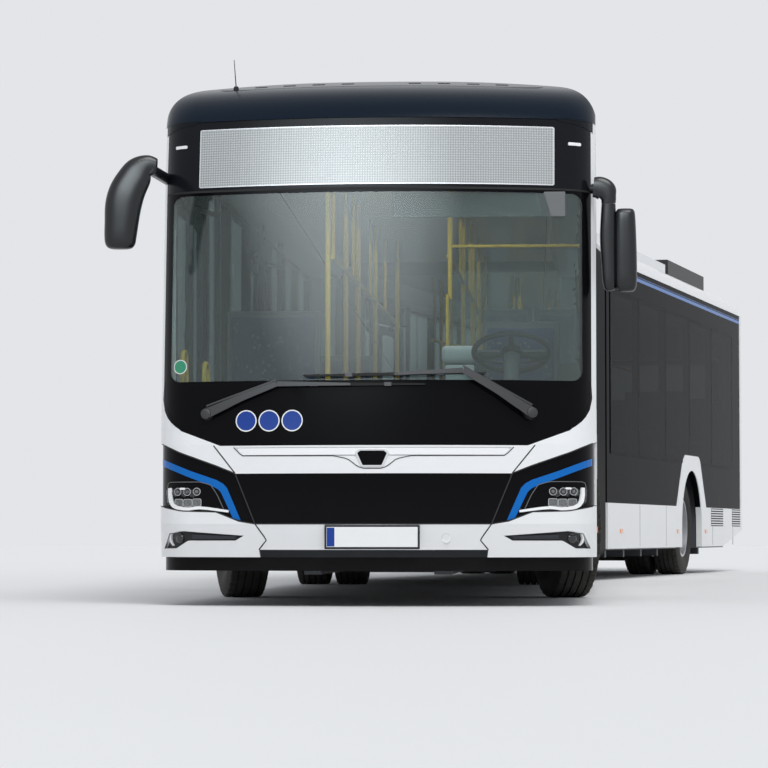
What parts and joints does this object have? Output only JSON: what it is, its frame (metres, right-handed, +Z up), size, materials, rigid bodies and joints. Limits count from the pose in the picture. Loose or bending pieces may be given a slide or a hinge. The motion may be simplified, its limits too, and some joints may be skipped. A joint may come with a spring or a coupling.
{
  "type": "articulated city bus",
  "caption": "Low-floor articulated city bus with a bowed front, steered front wheels, twin rear wheels, three doors that glide inward and a bellows joint.",
  "frame": {"origin": "centre of the bounding box on the ground", "axes": "+Z up; +Y from the front of the bus to its rear; +X to the driver's side of the front section"},
  "size_m": [4.4507, 18.2344, 3.32],
  "materials": {
    "battery_case": "satin",
    "black_plastic": "satin",
    "cast_steel": "matte",
    "fabric_grey": "matte",
    "floor_grey": "matte",
    "glass": "gloss",
    "grey_plastic": "satin",
    "lamp": "gloss",
    "paint_black": "gloss",
    "paint_white": "gloss",
    "red_lamp": "gloss",
    "rim_silver": "satin",
    "rubber": "matte",
    "seat_cloth": "matte",
    "yellow_rail": "gloss"
  },
  "bodies": {
    "front_section": {"front_mask": "paint_white", "front_dark_panel": "paint_black", "front_bumper": "paint_white", "windscreen": "glass", "destination_glass": "glass", "headlamps": "lamp", "roof_dome": "paint_black", "front_sides": "paint_black", "front_skirts": "paint_white", "front_glazing": "glass", "front_roof": "paint_white", "front_roof_pack": "battery_case", "front_floor": "floor_grey", "mirrors": "black_plastic", "wipers": "black_plastic", "driver_cab": "grey_plastic", "front_seats": "seat_cloth", "front_handrails": "yellow_rail", "axle_1": "cast_steel", "axle_2": "cast_steel", "bellows": "fabric_grey"},
    "rear_section": {"rear_sides": "paint_black", "rear_skirts": "paint_white", "rear_roof": "paint_white", "turntable": "cast_steel", "rear_floor": "floor_grey", "rear_panel": "paint_white", "tail_lamps": "red_lamp", "rear_glazing": "glass", "rear_equipment": "battery_case", "rear_seats": "seat_cloth", "rear_handrails": "yellow_rail", "axle_3": "cast_steel"},
    "knuckle_left": {"knuckle_left": "cast_steel"},
    "wheel_1_left": {"tyre_1_left": "rubber", "rim_1_left": "rim_silver"},
    "wheels_2_left": {"tyres_2_left": "rubber", "rims_2_left": "rim_silver"},
    "wheels_3_left": {"tyres_3_left": "rubber", "rims_3_left": "rim_silver"},
    "knuckle_right": {"knuckle_right": "cast_steel"},
    "wheel_1_right": {"tyre_1_right": "rubber", "rim_1_right": "rim_silver"},
    "wheels_2_right": {"tyres_2_right": "rubber", "rims_2_right": "rim_silver"},
    "wheels_3_right": {"tyres_3_right": "rubber", "rims_3_right": "rim_silver"},
    "door_1_front_post": {"door_1_front_post": "black_plastic"},
    "door_1_front_leaf": {"door_1_front_leaf": "paint_black"},
    "door_1_rear_post": {"door_1_rear_post": "black_plastic"},
    "door_1_rear_leaf": {"door_1_rear_leaf": "paint_black"},
    "door_2_front_post": {"door_2_front_post": "black_plastic"},
    "door_2_front_leaf": {"door_2_front_leaf": "paint_black"},
    "door_2_rear_post": {"door_2_rear_post": "black_plastic"},
    "door_2_rear_leaf": {"door_2_rear_leaf": "paint_black"},
    "door_3_front_post": {"door_3_front_post": "black_plastic"},
    "door_3_front_leaf": {"door_3_front_leaf": "paint_black"},
    "door_3_rear_post": {"door_3_rear_post": "black_plastic"},
    "door_3_rear_leaf": {"door_3_rear_leaf": "paint_black"}
  },
  "joints": [
    {"name": "articulation", "type": "hinge", "parent": "front_section", "child": "rear_section", "pos_m": [-0.69, 0.683, 0.24], "axis": [0, 0, 1], "range_deg": [-36.35, 59.65], "deforming": ["bellows"]},
    {"name": "steer_left", "type": "hinge", "parent": "front_section", "child": "knuckle_left", "pos_m": [0.255, -6.232, 0.47825], "axis": [0, 0, 1], "range_deg": [-60, 30]},
    {"name": "spin_1_left", "type": "hinge", "parent": "knuckle_left", "child": "wheel_1_left", "pos_m": [0.37574, -6.19965, 0.47825], "axis": [0.9659, 0.2588, 0], "continuous": true},
    {"name": "spin_2_left", "type": "hinge", "parent": "front_section", "child": "wheels_2_left", "pos_m": [0.215, -1.127, 0.47825], "axis": [1, 0, 0], "continuous": true},
    {"name": "spin_3_left", "type": "hinge", "parent": "rear_section", "child": "wheels_3_left", "pos_m": [1.19895, 5.36297, 0.47825], "axis": [0.9794, -0.2019, 0], "continuous": true},
    {"name": "steer_right", "type": "hinge", "parent": "front_section", "child": "knuckle_right", "pos_m": [-1.635, -6.232, 0.47825], "axis": [0, 0, 1], "range_deg": [-60, 30]},
    {"name": "spin_1_right", "type": "hinge", "parent": "knuckle_right", "child": "wheel_1_right", "pos_m": [-1.75574, -6.26435, 0.47825], "axis": [0.9659, 0.2588, 0], "continuous": true},
    {"name": "spin_2_right", "type": "hinge", "parent": "front_section", "child": "wheels_2_right", "pos_m": [-1.595, -1.127, 0.47825], "axis": [1, 0, 0], "continuous": true},
    {"name": "spin_3_right", "type": "hinge", "parent": "rear_section", "child": "wheels_3_right", "pos_m": [-0.57376, 5.72847, 0.47825], "axis": [0.9794, -0.2019, 0], "continuous": true},
    {"name": "door_1_front_post_turn", "type": "hinge", "parent": "front_section", "child": "door_1_front_post", "pos_m": [-1.83, -8.309, 1.4], "axis": [0, 0, -1], "range_deg": [0, 88]},
    {"name": "door_1_front_leaf_turn", "type": "hinge", "parent": "door_1_front_post", "child": "door_1_front_leaf", "pos_m": [-1.908, -7.9775, 1.4], "axis": [0, 0, 1], "range_deg": [0, 176]},
    {"name": "door_1_rear_post_turn", "type": "hinge", "parent": "front_section", "child": "door_1_rear_post", "pos_m": [-1.83, -7.015, 1.4], "axis": [0, 0, 1], "range_deg": [0, 88]},
    {"name": "door_1_rear_leaf_turn", "type": "hinge", "parent": "door_1_rear_post", "child": "door_1_rear_leaf", "pos_m": [-1.908, -7.3465, 1.4], "axis": [0, 0, -1], "range_deg": [0, 176]},
    {"name": "door_2_front_post_turn", "type": "hinge", "parent": "front_section", "child": "door_2_front_post", "pos_m": [-1.83, -4.529, 1.4], "axis": [0, 0, -1], "range_deg": [0, 88]},
    {"name": "door_2_front_leaf_turn", "type": "hinge", "parent": "door_2_front_post", "child": "door_2_front_leaf", "pos_m": [-1.908, -4.1975, 1.4], "axis": [0, 0, 1], "range_deg": [0, 176]},
    {"name": "door_2_rear_post_turn", "type": "hinge", "parent": "front_section", "child": "door_2_rear_post", "pos_m": [-1.83, -3.235, 1.4], "axis": [0, 0, 1], "range_deg": [0, 88]},
    {"name": "door_2_rear_leaf_turn", "type": "hinge", "parent": "door_2_rear_post", "child": "door_2_rear_leaf", "pos_m": [-1.908, -3.5665, 1.4], "axis": [0, 0, -1], "range_deg": [0, 176]},
    {"name": "door_3_front_post_turn", "type": "hinge", "parent": "rear_section", "child": "door_3_front_post", "pos_m": [-1.53431, 2.23343, 1.4], "axis": [0, 0, -1], "range_deg": [0, 88]},
    {"name": "door_3_front_leaf_turn", "type": "hinge", "parent": "door_3_front_post", "child": "door_3_front_leaf", "pos_m": [-1.54376, 2.57386, 1.4], "axis": [0, 0, 1], "range_deg": [0, 176]},
    {"name": "door_3_rear_post_turn", "type": "hinge", "parent": "rear_section", "child": "door_3_rear_post", "pos_m": [-1.27301, 3.50078, 1.4], "axis": [0, 0, 1], "range_deg": [0, 88]},
    {"name": "door_3_rear_leaf_turn", "type": "hinge", "parent": "door_3_rear_post", "child": "door_3_rear_leaf", "pos_m": [-1.41634, 3.19186, 1.4], "axis": [0, 0, -1], "range_deg": [0, 176]}
  ],
  "couplings": [
    {"joint": "steer_right", "follows": "steer_left", "ratio": 1},
    {"joint": "door_1_front_leaf_turn", "follows": "door_1_front_post_turn", "ratio": 2},
    {"joint": "door_1_rear_leaf_turn", "follows": "door_1_rear_post_turn", "ratio": 2},
    {"joint": "door_2_front_leaf_turn", "follows": "door_2_front_post_turn", "ratio": 2},
    {"joint": "door_2_rear_leaf_turn", "follows": "door_2_rear_post_turn", "ratio": 2},
    {"joint": "door_3_front_leaf_turn", "follows": "door_3_front_post_turn", "ratio": 2},
    {"joint": "door_3_rear_leaf_turn", "follows": "door_3_rear_post_turn", "ratio": 2}
  ]
}
